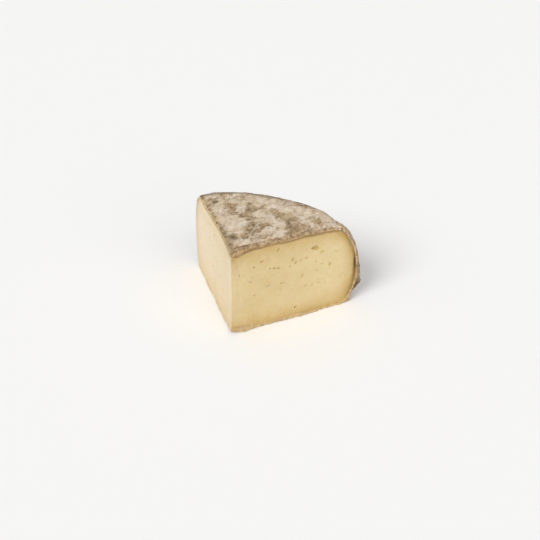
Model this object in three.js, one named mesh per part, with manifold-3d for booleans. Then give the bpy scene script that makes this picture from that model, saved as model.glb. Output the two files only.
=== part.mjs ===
// A wedge of tomme, a small pressed mountain cheese: nearly a quarter of a squat wheel,
// cut from its centre to its side. The paste shows on both cut faces, set back a little
// from the cut edge of the rind, with small eyes in it. The rind is uneven, and the side
// of the wheel bulges.
//
// Millimetres, +Z up. While it is made, the wheel's axis is the Z axis, the point of the
// wedge lies on it, and the middle of the wedge runs along +Y. The finished wedge has its
// origin at the middle of its foot.

import * as THREE from "three";
import { mergeVertices } from "three/addons/utils/BufferGeometryUtils.js";
import Module from "manifold-3d";

// The wheel, at its widest and at the rim of its foot.
const WIDEST_RADIUS = 100.2;
const WIDEST_SHARE = 0.43; // of the height of the side
const FOOT_RIM_RADIUS = 94.5;
const WHEEL_HEIGHT = 69;
const WEDGE_ANGLE = THREE.MathUtils.degToRad(82);

// The top is a low dome that falls towards its rim. At the right cut it has sunk, so its
// rim is lower and further in there than round the rest of the wheel. At the left cut the
// rim sags a little too.
const DOME_RADIUS = 35; // where the top starts to fall
const SUNK_RIM = { radius: 83.6, fall: 3.3, wear: 0.5 };
const FULL_RIM = { radius: 87.5, fall: 0.9, wear: 2.2 };
const FULL_FROM = 0.14; // of the turn from the right cut to the left one
const LEFT_SAG = 1.0; // how much further the top falls to the rim at the left cut
const SAG_FROM = 0.82; // of the turn

// The point of the wedge is pressed down at the top and worn away at the foot.
const POINT_DIP = 2.2;
const POINT_LIFT = 2.0;
const POINT_REACH = 4.5;

// How far in the two rims are worn round.
const FOOT_WEAR = 0.9;
const WEAR_REACH = 5.5;

// Towards its edges the foot is a little hollow, so the wedge rests on a triangle.
const FOOT_HOLLOW = 0.3;
const HOLLOW_RUN = 3; // from the triangle to where the foot is fully hollow

// The rind's relief: long waves, and lumps on them.
const WAVE_LENGTH = 24;
const SIDE_WAVE = 0.9;
const TOP_WAVE = 0.5;
const LUMP_LENGTH = 8;
const LUMP_RISE = 0.55;

// Just behind the right cut the side's rind stands out in a fold. It stands out more under
// the top and in its lower half, and most of all in a belly low down.
const FOLD_RISE = 1.8;
const FOLD_BROW = 1.9;
const BROW_REACH = 16;
const FOLD_SLACK = 1.8;
const SLACK_FROM = [24, 36]; // the heights up to which it is full, and where it ends
const FOLD_BELLY = 3.6;
const BELLY_HEIGHT = 13.3;
const BELLY_REACH = { below: 3.2, above: 4.2 };
const FOLD_SETBACK = 2.4; // from the cut to its crest
const FOLD_RUN = 11; // from its crest back to the plain side

// The cut faces: the knife's slight wander, and the paste behind the edge of the rind.
const KNIFE_WAVE = 0.4;
const KNIFE_WAVE_LENGTH = 38;
const RIND_THICKNESS = 2.8;
const PASTE_RECESS = 0.7;
const RECESS_RUN = 1.2;
const POINT_FLUSH = 7; // this close to the point the paste isn't set back

// How finely the surface is divided.
const OUT_STEPS = 28;
const UP_STEPS = 18;
const TURN_STEPS = 36;
const MERGE_WITHIN = 1e-4;

// The corners of the triangle that the wedge rests on: how far out, and at which turn.
const REST_SPOTS = [
  { out: 3 / OUT_STEPS, turn: 0.5 },
  { out: 26 / OUT_STEPS, turn: 0 },
  { out: 26 / OUT_STEPS, turn: 1 },
];

// The larger eyes of the right cut face: how far from the point, how high, how wide, how
// tall, and how far each leans, in degrees.
const RIGHT_EYES = [
  { along: 63.1, height: 53.2, wide: 7.0, tall: 3.6, lean: 4 },
  { along: 68.3, height: 50.0, wide: 2.9, tall: 2.1, lean: 25 },
  { along: 33.7, height: 59.7, wide: 1.9, tall: 2.6, lean: 0 },
  { along: 22.4, height: 53.2, wide: 3.2, tall: 1.8, lean: 25 },
  { along: 16.4, height: 50.2, wide: 2.2, tall: 1.6, lean: -20 },
  { along: 32.0, height: 46.1, wide: 2.1, tall: 1.7, lean: -25 },
  { along: 45.9, height: 48.6, wide: 1.9, tall: 2.7, lean: 20 },
  { along: 55.8, height: 47.9, wide: 2.4, tall: 1.6, lean: 20 },
  { along: 76.2, height: 37.3, wide: 2.4, tall: 2.8, lean: 30 },
  { along: 53.7, height: 33.9, wide: 1.9, tall: 3.2, lean: 30 },
  { along: 27.3, height: 33.0, wide: 3.5, tall: 1.5, lean: 20 },
  { along: 57.1, height: 24.6, wide: 1.9, tall: 1.8, lean: 20 },
  { along: 49.9, height: 8.6, wide: 3.0, tall: 2.1, lean: 35 },
];
const EYE_DEPTH = 0.3; // of its width

// The eyes of the left cut face are fewer and smaller, and lie anywhere clear of the rind.
const LEFT_EYE_COUNT = 9;
const LEFT_EYE_WIDTH = [1.6, 2.6];
const LEFT_EYE_MARGIN = 12;
const LEFT_EYE_LEAN = 40;

const PASTE_COLOUR = "#dfc896";
const PASTE_ROUGHNESS = 0.6;

const { clamp, lerp, smoothstep } = THREE.MathUtils;

// A fixed random number between 0 and 1 for each corner of a lattice.
function latticeValue(i, j, k) {
  const n = Math.sin(i * 127.1 + j * 311.7 + k * 74.7) * 43758.5453;
  return n - Math.floor(n);
}

// Smooth noise between -1 and 1, with one lattice cell to each length.
function noise(x, y, z, length, seed) {
  const place = [x, y, z].map((p) => p / length + seed);
  const cell = place.map(Math.floor);
  const blend = place.map((p, axis) => smoothstep(p - cell[axis], 0, 1));
  let sum = 0;
  for (let corner = 0; corner < 8; corner++) {
    const step = [corner & 1, (corner >> 1) & 1, corner >> 2];
    const share = step.reduce((s, up, axis) => s * (up ? blend[axis] : 1 - blend[axis]), 1);
    sum += share * latticeValue(cell[0] + step[0], cell[1] + step[1], cell[2] + step[2]);
  }
  return 2 * sum - 1;
}

// A bump of height 1 that fades to nothing a few reaches away.
function bump(distance, reach) {
  return Math.exp(-((distance / reach) ** 2));
}

// The top rim at a turn: its radius, how far the dome falls to it, and how far it is worn.
function topRim(turn) {
  const full = smoothstep(turn, 0, FULL_FROM);
  return {
    radius: lerp(SUNK_RIM.radius, FULL_RIM.radius, full),
    fall: lerp(SUNK_RIM.fall, FULL_RIM.fall, full) + LEFT_SAG * smoothstep(turn, SAG_FROM, 1),
    wear: lerp(SUNK_RIM.wear, FULL_RIM.wear, full),
  };
}

// The height of the top at a distance from the wheel's axis.
function topHeight(radius, rim) {
  const out = Math.max((radius - DOME_RADIUS) / (rim.radius - DOME_RADIUS), 0);
  return WHEEL_HEIGHT - rim.fall * out ** 2 - POINT_DIP * Math.exp(-radius / POINT_REACH);
}

// The wheel's radius at a share of the height of its side: a parabola to each rim.
function sideRadius(up, rim) {
  const above = up > WIDEST_SHARE;
  const rimRadius = above ? rim.radius : FOOT_RIM_RADIUS;
  const run = above ? 1 - WIDEST_SHARE : WIDEST_SHARE;
  return WIDEST_RADIUS - (WIDEST_RADIUS - rimRadius) * ((up - WIDEST_SHARE) / run) ** 2;
}

// How far the fold behind the right cut stands out.
function foldRise(height, turn) {
  const behind = turn * WEDGE_ANGLE * WIDEST_RADIUS - FOLD_SETBACK;
  const reach = behind < 0 ? FOLD_SETBACK / 2 : FOLD_RUN;
  const bellyReach = height < BELLY_HEIGHT ? BELLY_REACH.below : BELLY_REACH.above;
  const belly = FOLD_BELLY * bump(height - BELLY_HEIGHT, bellyReach);
  const brow = FOLD_BROW * bump(WHEEL_HEIGHT - height, BROW_REACH);
  const slack = FOLD_SLACK * (1 - smoothstep(height, ...SLACK_FROM));
  return (FOLD_RISE + brow + slack + belly) * bump(behind, reach);
}

// How far the knives of the two cuts wandered from their straight lines, across a turn.
function knifeWander(radius, height, turn) {
  const away = KNIFE_WAVE * clamp(radius / (2 * POINT_FLUSH), 0, 1);
  const right = (1 - turn) ** 8 * noise(radius, 0, height, KNIFE_WAVE_LENGTH, 23);
  const left = turn ** 8 * noise(radius, 0, height, KNIFE_WAVE_LENGTH, 31);
  return away * (right - left);
}

// The direction from the wheel's axis at a turn, in radians from +X.
function turnAngle(turn) {
  return Math.PI / 2 + (turn - 0.5) * WEDGE_ANGLE;
}

// A place at a distance from the wheel's axis in the direction of a turn.
function placeAt(radius, height, turn) {
  const angle = turnAngle(turn);
  const across = knifeWander(radius, height, turn);
  return new THREE.Vector3(
    radius * Math.cos(angle) - across * Math.sin(angle),
    radius * Math.sin(angle) + across * Math.cos(angle),
    height,
  );
}

// How far the rim of the foot is worn round, away from the side and above the foot.
function footWearAt(fromSide, fromFoot) {
  return FOOT_WEAR * bump(Math.max(fromSide, fromFoot), WEAR_REACH);
}

// A point of the foot, before it is hollowed.
function footPoint(out, turn) {
  const wear = footWearAt((1 - out) * WIDEST_RADIUS, 0);
  return placeAt(out * FOOT_RIM_RADIUS - wear, 0, turn);
}

// How loose of the ground the foot is: 0 in the triangle it rests on, 1 well outside it.
function looseness(out, turn) {
  const spots = REST_SPOTS.map((spot) => footPoint(spot.out, spot.turn));
  const point = footPoint(out, turn);
  const outside = spots.map((spot, i) => {
    const along = spots[(i + 1) % 3].clone().sub(spot).normalize();
    const from = point.clone().sub(spot);
    return from.x * along.y - from.y * along.x;
  });
  return clamp(Math.max(...outside) / HOLLOW_RUN, 0, 1);
}

// A point of the wedge. out runs from the wheel's axis to its side, up from the foot to
// the top, and turn from the right cut face to the left one, each from 0 to 1.
function wedgePoint(out, up, turn) {
  const rim = topRim(turn);
  let radius = out * sideRadius(up, rim);
  const loose = looseness(out, turn);
  const pointLift = POINT_LIFT * bump(radius, POINT_REACH) * loose;
  let height = lerp(pointLift, topHeight(radius, rim), up);

  const angle = turnAngle(turn);
  const [x, y] = [radius * Math.cos(angle), radius * Math.sin(angle)];
  const lumps = LUMP_RISE * noise(x, y, height, LUMP_LENGTH, 5);
  const sideRelief = SIDE_WAVE * noise(x, y, height, WAVE_LENGTH, 11) + lumps;
  const topRelief = TOP_WAVE * noise(x, y, height, WAVE_LENGTH, 17) + lumps;

  const fromSide = (1 - out) * WIDEST_RADIUS;
  const fromTop = (1 - up) * WHEEL_HEIGHT;
  const fromFoot = up * WHEEL_HEIGHT;
  const topWear = rim.wear * bump(Math.max(fromSide, fromTop), WEAR_REACH);
  const footWear = footWearAt(fromSide, fromFoot);
  const hollow = FOOT_HOLLOW * bump(fromFoot, WEAR_REACH);
  const offFoot = smoothstep(fromFoot, 0, 2 * WEAR_REACH);
  const offPoint = smoothstep(radius, 0, 2 * POINT_REACH);
  radius += (sideRelief + foldRise(height, turn)) * out ** 6 * offFoot - topWear - footWear;
  height += topRelief * up ** 6 * offPoint - topWear + (footWear + hollow) * loose;
  return placeAt(radius, Math.max(height, 0), turn);
}

// The direction in which the right cut face (turn 0) or the left one (turn 1) looks.
function cutNormal(turn) {
  const angle = turnAngle(turn);
  const side = turn === 0 ? 1 : -1;
  return new THREE.Vector3(Math.sin(angle) * side, -Math.cos(angle) * side, 0);
}

// A point of a cut face, set back where it is paste.
function cutPoint(out, up, turn) {
  const fromRind = Math.min((1 - out) * WIDEST_RADIUS, (1 - up) * WHEEL_HEIGHT, up * WHEEL_HEIGHT);
  const inside = smoothstep(fromRind, RIND_THICKNESS, RIND_THICKNESS + RECESS_RUN);
  const clear = smoothstep(out * WIDEST_RADIUS, 0, POINT_FLUSH);
  const recess = PASTE_RECESS * inside * clear;
  return wedgePoint(out, up, turn).addScaledVector(cutNormal(turn), -recess);
}

// Even steps from 0 to 1, with the given places in them in the stead of their neighbours.
function stepsWith(count, places) {
  const even = Array.from({ length: count + 1 }, (_, i) => i / count);
  const tooClose = (step) => places.some((place) => Math.abs(step - place) < 0.4 / count);
  const kept = even.filter((step) => step === 0 || step === 1 || !tooClose(step));
  return [...kept, ...places].sort((a, b) => a - b);
}

// The corners of the triangles of a grid of points. flip turns them to face the other way.
function gridCorners(pointAt, rows, columns, flip) {
  const grid = rows.map((row) => columns.map((column) => pointAt(row, column)));
  const corners = [];
  for (let i = 0; i + 1 < rows.length; i++) {
    for (let j = 0; j + 1 < columns.length; j++) {
      const [a, b] = [grid[i][j], grid[i + 1][j]];
      const [c, d] = [grid[i + 1][j + 1], grid[i][j + 1]];
      corners.push(...(flip ? [a, c, b, a, d, c] : [a, b, c, a, c, d]));
    }
  }
  return corners;
}

// The whole skin of the wedge, without its eyes.
function skinGeometry() {
  const edge = RIND_THICKNESS;
  const inner = RIND_THICKNESS + RECESS_RUN;
  const outs = stepsWith(OUT_STEPS, [1 - inner / WIDEST_RADIUS, 1 - edge / WIDEST_RADIUS]);
  const upEdges = [edge / WHEEL_HEIGHT, inner / WHEEL_HEIGHT];
  const ups = stepsWith(UP_STEPS, [...upEdges, ...upEdges.map((place) => 1 - place)]);
  const turns = stepsWith(TURN_STEPS, [FOLD_SETBACK / (WEDGE_ANGLE * WIDEST_RADIUS)]);
  const corners = [
    ...gridCorners((out, turn) => wedgePoint(out, 1, turn), outs, turns, false),
    ...gridCorners((out, turn) => wedgePoint(out, 0, turn), outs, turns, true),
    ...gridCorners((turn, up) => wedgePoint(1, up, turn), turns, ups, false),
    ...gridCorners((out, up) => cutPoint(out, up, 0), outs, ups, false),
    ...gridCorners((out, up) => cutPoint(out, up, 1), outs, ups, true),
  ];
  return new THREE.BufferGeometry().setFromPoints(corners);
}

// One eye as a rough ball, half sunk in a cut face.
function eyeGeometry(eye, turn) {
  const angle = turnAngle(turn);
  const size = new THREE.Matrix4().makeScale(eye.wide, 2 * EYE_DEPTH * eye.wide, eye.tall);
  const lean = THREE.MathUtils.degToRad(turn === 0 ? -eye.lean : eye.lean);
  const place = new THREE.Matrix4()
    .makeTranslation(cutNormal(turn).multiplyScalar(-PASTE_RECESS))
    .multiply(new THREE.Matrix4().makeRotationZ(angle))
    .multiply(new THREE.Matrix4().makeTranslation(eye.along, 0, eye.height))
    .multiply(new THREE.Matrix4().makeRotationY(lean))
    .multiply(size);
  return new THREE.IcosahedronGeometry(0.5, 1).applyMatrix4(place);
}

function leftEyes() {
  const draw = (n, low, high) => lerp(low, high, latticeValue(n, 41, 7));
  return Array.from({ length: LEFT_EYE_COUNT }, (_, n) => {
    const wide = draw(5 * n + 2, ...LEFT_EYE_WIDTH);
    return {
      along: draw(5 * n, LEFT_EYE_MARGIN, SUNK_RIM.radius - LEFT_EYE_MARGIN),
      height: draw(5 * n + 1, LEFT_EYE_MARGIN, WHEEL_HEIGHT - LEFT_EYE_MARGIN),
      wide,
      tall: wide * draw(5 * n + 3, 0.5, 1),
      lean: draw(5 * n + 4, -LEFT_EYE_LEAN, LEFT_EYE_LEAN),
    };
  });
}

const wasm = await Module();
wasm.setup();

// A closed mesh as a solid that can be cut.
function solidOf(geometry) {
  const bare = new THREE.BufferGeometry();
  bare.setAttribute("position", geometry.getAttribute("position"));
  const merged = mergeVertices(bare, MERGE_WITHIN);
  const vertProperties = merged.getAttribute("position").array;
  const triVerts = new Uint32Array(merged.getIndex().array);
  return new wasm.Manifold(new wasm.Mesh({ numProp: 3, vertProperties, triVerts }));
}

function geometryOf(solid) {
  const { vertProperties, triVerts } = solid.getMesh();
  const geometry = new THREE.BufferGeometry();
  geometry.setAttribute("position", new THREE.BufferAttribute(vertProperties, 3));
  geometry.setIndex(new THREE.BufferAttribute(triVerts, 1));
  return geometry;
}

// Moves a shape so that the middle of its foot is at the origin.
function standOnOrigin(geometry) {
  geometry.computeBoundingBox();
  const { min, max } = geometry.boundingBox;
  return geometry.translate(-(min.x + max.x) / 2, -(min.y + max.y) / 2, -min.z);
}

function makeCheese() {
  let solid = solidOf(skinGeometry());
  for (const eye of RIGHT_EYES) solid = solid.subtract(solidOf(eyeGeometry(eye, 0)));
  for (const eye of leftEyes()) solid = solid.subtract(solidOf(eyeGeometry(eye, 1)));
  const material = new THREE.MeshStandardMaterial({
    color: PASTE_COLOUR,
    roughness: PASTE_ROUGHNESS,
    metalness: 0,
  });
  const cheese = new THREE.Mesh(standOnOrigin(geometryOf(solid)), material);
  cheese.name = "cheese";
  return cheese;
}

const wedge = new THREE.Group();
wedge.add(makeCheese());

export default wedge;
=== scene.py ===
# %% [markdown]
# # A wedge of tomme
#
# A tomme is a small pressed cheese that ripens for months in a cool cellar. Outside it
# grows a dry, lumpy rind with pale mould on a grey-brown ground. Inside is a dense paste,
# the colour of butter, with small eyes. This lesson dresses a plain solid of one wedge.
# The wedge becomes two closed meshes: the rind, a shell as thick as a real one, and the
# block of paste inside it. Both follow the solid's own form, only much more finely.
#
# The first cell loads the solid, which sets every size and place.

# %% Load the plain solid
import math

import bmesh
import bpy
import numpy as np
from mathutils import Matrix, Vector


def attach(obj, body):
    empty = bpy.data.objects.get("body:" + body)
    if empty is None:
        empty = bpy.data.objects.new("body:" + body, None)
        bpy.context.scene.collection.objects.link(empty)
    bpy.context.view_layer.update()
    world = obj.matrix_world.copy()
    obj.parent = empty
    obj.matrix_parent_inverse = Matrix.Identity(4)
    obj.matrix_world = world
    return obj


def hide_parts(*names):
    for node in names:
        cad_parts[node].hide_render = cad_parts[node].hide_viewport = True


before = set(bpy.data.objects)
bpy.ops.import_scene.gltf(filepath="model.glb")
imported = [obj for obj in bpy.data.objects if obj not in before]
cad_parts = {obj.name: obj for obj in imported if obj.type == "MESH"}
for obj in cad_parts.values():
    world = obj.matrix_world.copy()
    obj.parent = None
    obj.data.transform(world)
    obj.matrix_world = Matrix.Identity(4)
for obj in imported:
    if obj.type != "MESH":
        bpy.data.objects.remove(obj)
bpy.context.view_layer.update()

# %% [markdown]
# ## The sizes of the wheel
#
# The wedge is cut from a wheel, so the wheel's sizes drive everything. They are the same
# as the solid's, in millimetres, because a cheese is easier to think about in millimetres
# than in metres. The top is a low dome, whose rim has sunk at the right cut and sags a
# little at the left one. The point is worn, and the foot is slightly hollow, so the wedge
# rests on three spots. Just behind the right cut the rind of the side stands out in a
# fold, with a brow under the top, slack in its lower half and a belly near the ground.

# %% Sizes of the wheel, in millimetres
WIDEST_RADIUS = 100.2
WIDEST_SHARE = 0.43  # of the height of the side
FOOT_RIM_RADIUS = 94.5
WHEEL_HEIGHT = 69
WEDGE_ANGLE = math.radians(82)

DOME_RADIUS = 35  # where the top starts to fall
SUNK_RIM = {"radius": 83.6, "fall": 3.3, "wear": 0.5}
FULL_RIM = {"radius": 87.5, "fall": 0.9, "wear": 2.2}
FULL_FROM = 0.14  # of the turn from the right cut to the left one
LEFT_SAG = 1.0  # how much further the top falls to the rim at the left cut
SAG_FROM = 0.82  # of the turn

POINT_DIP = 2.2
POINT_LIFT = 2.0
POINT_REACH = 4.5
FOOT_WEAR = 0.9
WEAR_REACH = 5.5
FOOT_HOLLOW = 0.3
HOLLOW_RUN = 3
REST_SPOTS = [(3 / 28, 0.5), (26 / 28, 0), (26 / 28, 1)]  # how far out, and at which turn

WAVE_LENGTH = 24
SIDE_WAVE = 0.9
TOP_WAVE = 0.5
LUMP_LENGTH = 8
LUMP_RISE = 0.55

FOLD_RISE = 1.8
FOLD_BROW = 1.9  # how much more it stands out under the top
BROW_REACH = 16
FOLD_SLACK = 1.8  # how much more its lower half stands out
SLACK_FROM = (36, 24)  # the heights where that starts and where it is full
FOLD_BELLY = 3.6
BELLY_HEIGHT = 13.3
BELLY_REACH = (3.2, 4.2)  # below and above
FOLD_SETBACK = 2.4
FOLD_RUN = 11

KNIFE_WAVE = 0.4
KNIFE_WAVE_LENGTH = 38
PASTE_RECESS = 0.7
POINT_FLUSH = 7  # this close to the point the paste isn't set back
print(f"the wheel is {2 * WIDEST_RADIUS:.0f} mm across and {WHEEL_HEIGHT} mm high")

# %% [markdown]
# ## Noise that both models share
#
# A rind is lumpy at random, but the lumps have to be the same ones as on the solid. So the
# noise is a formula: each corner of a cubic lattice has a fixed random value, and between
# the corners the values blend smoothly. NumPy works it out for all points at once.

# %% Noise and other small formulas
def smoothstep(value, start, end):
    share = np.clip((value - start) / (end - start), 0, 1)
    return share * share * (3 - 2 * share)


def lerp(start, end, share):
    return start + (end - start) * share


def bump(distance, reach):
    return np.exp(-((distance / reach) ** 2))


def xyz(places):
    return np.moveaxis(places, -1, 0)


def moved(places, distance, direction):
    """Places that are each moved by a distance of their own in one direction."""
    return places + distance[..., None] * direction


def lattice_value(i, j, k):
    value = np.sin(i * 127.1 + j * 311.7 + k * 74.7) * 43758.5453
    return value - np.floor(value)


def noise(x, y, z, length, seed):
    """Smooth noise between -1 and 1, with one lattice cell to each length."""
    place = [part / length + seed for part in (x, y, z)]
    cell = [np.floor(part) for part in place]
    blend = [smoothstep(part - low, 0, 1) for part, low in zip(place, cell)]
    total = 0
    for corner in range(8):
        step = (corner & 1, (corner >> 1) & 1, corner >> 2)
        share = 1
        for axis in range(3):
            share = share * (blend[axis] if step[axis] else 1 - blend[axis])
        total = total + share * lattice_value(*(low + up for low, up in zip(cell, step)))
    return 2 * total - 1


print("noise at three places:", [round(float(noise(x, 0, 0, 1, seed=5)), 3) for x in (0.2, 0.5, 0.8)])

# %% [markdown]
# ## One formula for every point of the wedge
#
# The address of a point of the wedge has three parts, each from 0 to 1: how far out it is
# from the wheel's axis to its side, how far up from the foot to the top, and how far it is
# turned from the right cut to the left one. A formula turns such an address into a place.
# Any grid of addresses then makes a surface that fits all the others.
#
# First comes the wheel's outline at one turn: how far its top falls, how wide its side is
# at one height, and how far the fold behind the right cut stands out.

# %% The outline of the wheel
def top_rim(turn):
    full = smoothstep(turn, 0, FULL_FROM)
    rim = {key: lerp(SUNK_RIM[key], FULL_RIM[key], full) for key in SUNK_RIM}
    return rim | {"fall": rim["fall"] + LEFT_SAG * smoothstep(turn, SAG_FROM, 1)}


def top_height(radius, rim):
    out = np.maximum((radius - DOME_RADIUS) / (rim["radius"] - DOME_RADIUS), 0)
    return WHEEL_HEIGHT - rim["fall"] * out**2 - POINT_DIP * np.exp(-radius / POINT_REACH)


def side_radius(up, rim):
    above = up > WIDEST_SHARE
    rim_radius = np.where(above, rim["radius"], FOOT_RIM_RADIUS)
    run = np.where(above, 1 - WIDEST_SHARE, WIDEST_SHARE)
    return WIDEST_RADIUS - (WIDEST_RADIUS - rim_radius) * ((up - WIDEST_SHARE) / run) ** 2


def fold_rise(height, turn):
    behind = turn * WEDGE_ANGLE * WIDEST_RADIUS - FOLD_SETBACK
    reach = np.where(behind < 0, FOLD_SETBACK / 2, FOLD_RUN)
    above = height - BELLY_HEIGHT
    belly = FOLD_BELLY * bump(above, np.where(above < 0, *BELLY_REACH))
    brow = FOLD_BROW * bump(WHEEL_HEIGHT - height, BROW_REACH)
    slack = FOLD_SLACK * smoothstep(height, *SLACK_FROM)
    return (FOLD_RISE + brow + slack + belly) * bump(behind, reach)


cuts_and_middle = np.array([0, 0.5, 1])
print("the rim's radius at the right cut, halfway and at the left one:",
      top_rim(cuts_and_middle)["radius"])

# %% [markdown]
# The knives wandered a little on their way through the wheel, so the cut faces are wavy.
# The foot is flat only in a triangle between three spots, and a little hollow outside it,
# which keeps the wedge from rocking.

# %% The knives and the foot
def turn_angle(turn):
    return math.pi / 2 + (turn - 0.5) * WEDGE_ANGLE


def place_at(radius, height, turn):
    """A place at a distance from the axis, moved across by the wander of the knives."""
    away = KNIFE_WAVE * np.clip(radius / (2 * POINT_FLUSH), 0, 1)
    right = (1 - turn) ** 8 * noise(radius, 0 * radius, height, KNIFE_WAVE_LENGTH, seed=23)
    left = turn**8 * noise(radius, 0 * radius, height, KNIFE_WAVE_LENGTH, seed=31)
    across = away * (right - left)
    cosine, sine = np.cos(turn_angle(turn)), np.sin(turn_angle(turn))
    parts = [radius * cosine - across * sine, radius * sine + across * cosine, height]
    return np.stack(parts, axis=-1)


def foot_wear_at(from_side, from_foot):
    return FOOT_WEAR * bump(np.maximum(from_side, from_foot), WEAR_REACH)


def foot_point(out, turn):
    radius = out * FOOT_RIM_RADIUS - foot_wear_at((1 - out) * WIDEST_RADIUS, 0)
    return place_at(radius, 0 * radius, turn)


def looseness(out, turn):
    """0 in the triangle that the wedge rests on, 1 well outside it."""
    spots = [foot_point(*map(np.asarray, spot))[:2] for spot in REST_SPOTS]
    point = foot_point(out, turn)
    outside = -np.inf
    for spot, following in zip(spots, spots[1:] + spots[:1]):
        along = (following - spot) / np.linalg.norm(following - spot)
        beyond = (point[..., 0] - spot[0]) * along[1] - (point[..., 1] - spot[1]) * along[0]
        outside = np.maximum(outside, beyond)
    return np.clip(outside / HOLLOW_RUN, 0, 1)


# %% [markdown]
# The formula starts from the smooth wheel. Then it adds the waves, the lumps and the fold,
# and takes away what is worn off the edges. Each of them fades out where it doesn't belong.

# %% The formula
def same_shape(*parts):
    return np.broadcast_arrays(*(np.asarray(part, float) for part in parts))


def depths(out, up):
    """How far an address is from the side, the top and the foot, in millimetres."""
    return (1 - out) * WIDEST_RADIUS, (1 - up) * WHEEL_HEIGHT, up * WHEEL_HEIGHT


def wedge_point(out, up, turn):
    """The place of an address, in millimetres from the wheel's axis. Arrays may be given."""
    out, up, turn = same_shape(out, up, turn)
    rim = top_rim(turn)
    radius = out * side_radius(up, rim)
    loose = looseness(out, turn)
    point_lift = POINT_LIFT * bump(radius, POINT_REACH) * loose
    height = lerp(point_lift, top_height(radius, rim), up)

    angle = turn_angle(turn)
    x, y = radius * np.cos(angle), radius * np.sin(angle)
    lumps = LUMP_RISE * noise(x, y, height, LUMP_LENGTH, seed=5)
    side_relief = SIDE_WAVE * noise(x, y, height, WAVE_LENGTH, seed=11) + lumps
    top_relief = TOP_WAVE * noise(x, y, height, WAVE_LENGTH, seed=17) + lumps

    from_side, from_top, from_foot = depths(out, up)
    top_wear = rim["wear"] * bump(np.maximum(from_side, from_top), WEAR_REACH)
    foot_wear = foot_wear_at(from_side, from_foot)
    hollow = FOOT_HOLLOW * bump(from_foot, WEAR_REACH)
    off_foot = smoothstep(from_foot, 0, 2 * WEAR_REACH)
    off_point = smoothstep(radius, 0, 2 * POINT_REACH)
    fold = fold_rise(height, turn)
    radius = radius + (side_relief + fold) * out**6 * off_foot - top_wear - foot_wear
    height = height + top_relief * up**6 * off_point - top_wear + (foot_wear + hollow) * loose
    return place_at(radius, np.maximum(height, 0), turn)


def cut_normal(turn):
    """The direction in which the right cut face (turn 0) or the left one (turn 1) looks."""
    side = 1 if turn == 0 else -1
    angle = turn_angle(turn)
    return side * np.array([math.sin(angle), -math.cos(angle), 0])


print("the top of the wedge's point, in mm:", wedge_point(0, 1, 0.5).round(1))

# %% [markdown]
# ## Where the wheel's axis is
#
# The formula counts from the wheel's axis, which runs through the point of the wedge. The
# solid counts from the middle of its foot, in metres. The solid's foremost vertex lies on
# the axis, so it tells how far to move everything.

# %% From the wheel's millimetres to the solid's metres
MM = 0.001
solid_points = np.array([v.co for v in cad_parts["cheese"].data.vertices])
axis_place = solid_points[np.argmin(solid_points[:, 1])] * (1, 1, 0)


def to_frame(points):
    return np.asarray(points, float) * MM + axis_place


print("the wheel's axis stands at", [round(float(part), 4) for part in axis_place])

# %% [markdown]
# ## Meshes from grids
#
# A closed mesh is a set of grids whose edges fit together. Points that fall on the same
# place are welded into one, and triangles that lose a corner by that are dropped, which
# closes the grids where they run together at the wheel's axis. Each point may carry extra
# numbers, called attributes, which the relief and the colours read later.
#
# A knife leaves the wedge's front edge a little blunt, so every point close to the wheel's
# axis moves back. The largest step is at the axis itself.

# %% Helpers that make a mesh
WELD = 1e-4  # millimetres
FRONT_ROUNDING = 0.4  # the radius of the blunt front edge


def length_of(places):
    return np.hypot(places[..., 0], places[..., 1])


def blunted(points):
    half = WEDGE_ANGLE / 2
    share = np.clip(1 - length_of(points) * math.tan(half) / FRONT_ROUNDING, 0, 1)
    back = FRONT_ROUNDING * (1 / math.sin(half) - 1) * share**2
    return moved(points, back, (0, 1, 0))


class Skin:
    """Collects grids of points with their attributes, and welds them into one mesh."""

    def __init__(self, names):
        self.names = names
        self.points = []
        self.values = {name: [] for name in names}
        self.triangles = []
        self.count = 0

    def grid(self, points, flip, **values):
        """Adds one grid. flip turns its faces round."""
        rows, columns = points.shape[:2]
        index = self.count + np.arange(rows * columns).reshape(rows, columns)
        a, b = index[:-1, :-1].ravel(), index[1:, :-1].ravel()
        c, d = index[1:, 1:].ravel(), index[:-1, 1:].ravel()
        sides = [(a, c, b), (a, d, c)] if flip else [(a, b, c), (a, c, d)]
        self.triangles += [np.stack(side, axis=1) for side in sides]
        self.points.append(points.reshape(-1, 3))
        for name in self.names:
            value = np.broadcast_to(values.get(name, 0.0), (rows, columns))
            self.values[name].append(value.ravel())
        self.count += rows * columns

    def mesh(self, name):
        points = np.concatenate(self.points)
        _, first, index = np.unique(
            np.round(points / WELD).astype(np.int64), axis=0, return_index=True, return_inverse=True
        )
        triangles = index.ravel()[np.concatenate(self.triangles)]
        whole = (triangles != np.roll(triangles, 1, axis=1)).all(axis=1)
        mesh = bpy.data.meshes.new(name)
        mesh.from_pydata(to_frame(blunted(points[first])).tolist(), [], triangles[whole].tolist())
        for key, parts in self.values.items():
            attribute = mesh.attributes.new(key, "FLOAT", "POINT")
            attribute.data.foreach_set("value", np.concatenate(parts)[first].astype(np.float32))
        mesh.shade_smooth()
        return mesh


def show(data):
    """Puts a mesh, a light or a camera in the scene as an object of the same name."""
    piece = bpy.data.objects.new(data.name, data)
    bpy.context.scene.collection.objects.link(piece)
    return piece


def measure(mesh):
    """Prints a mesh's size and tells if it is closed."""
    shape = bmesh.new()
    shape.from_mesh(mesh)
    open_edges = sum(not edge.is_manifold for edge in shape.edges)
    volume = shape.calc_volume(signed=True) / MM**3 / 1000
    triangles = sum(len(face.verts) - 2 for face in shape.faces)
    shape.free()
    print(f"{mesh.name}: {triangles} triangles, {volume:.1f} ml, {open_edges} open edges")


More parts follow.
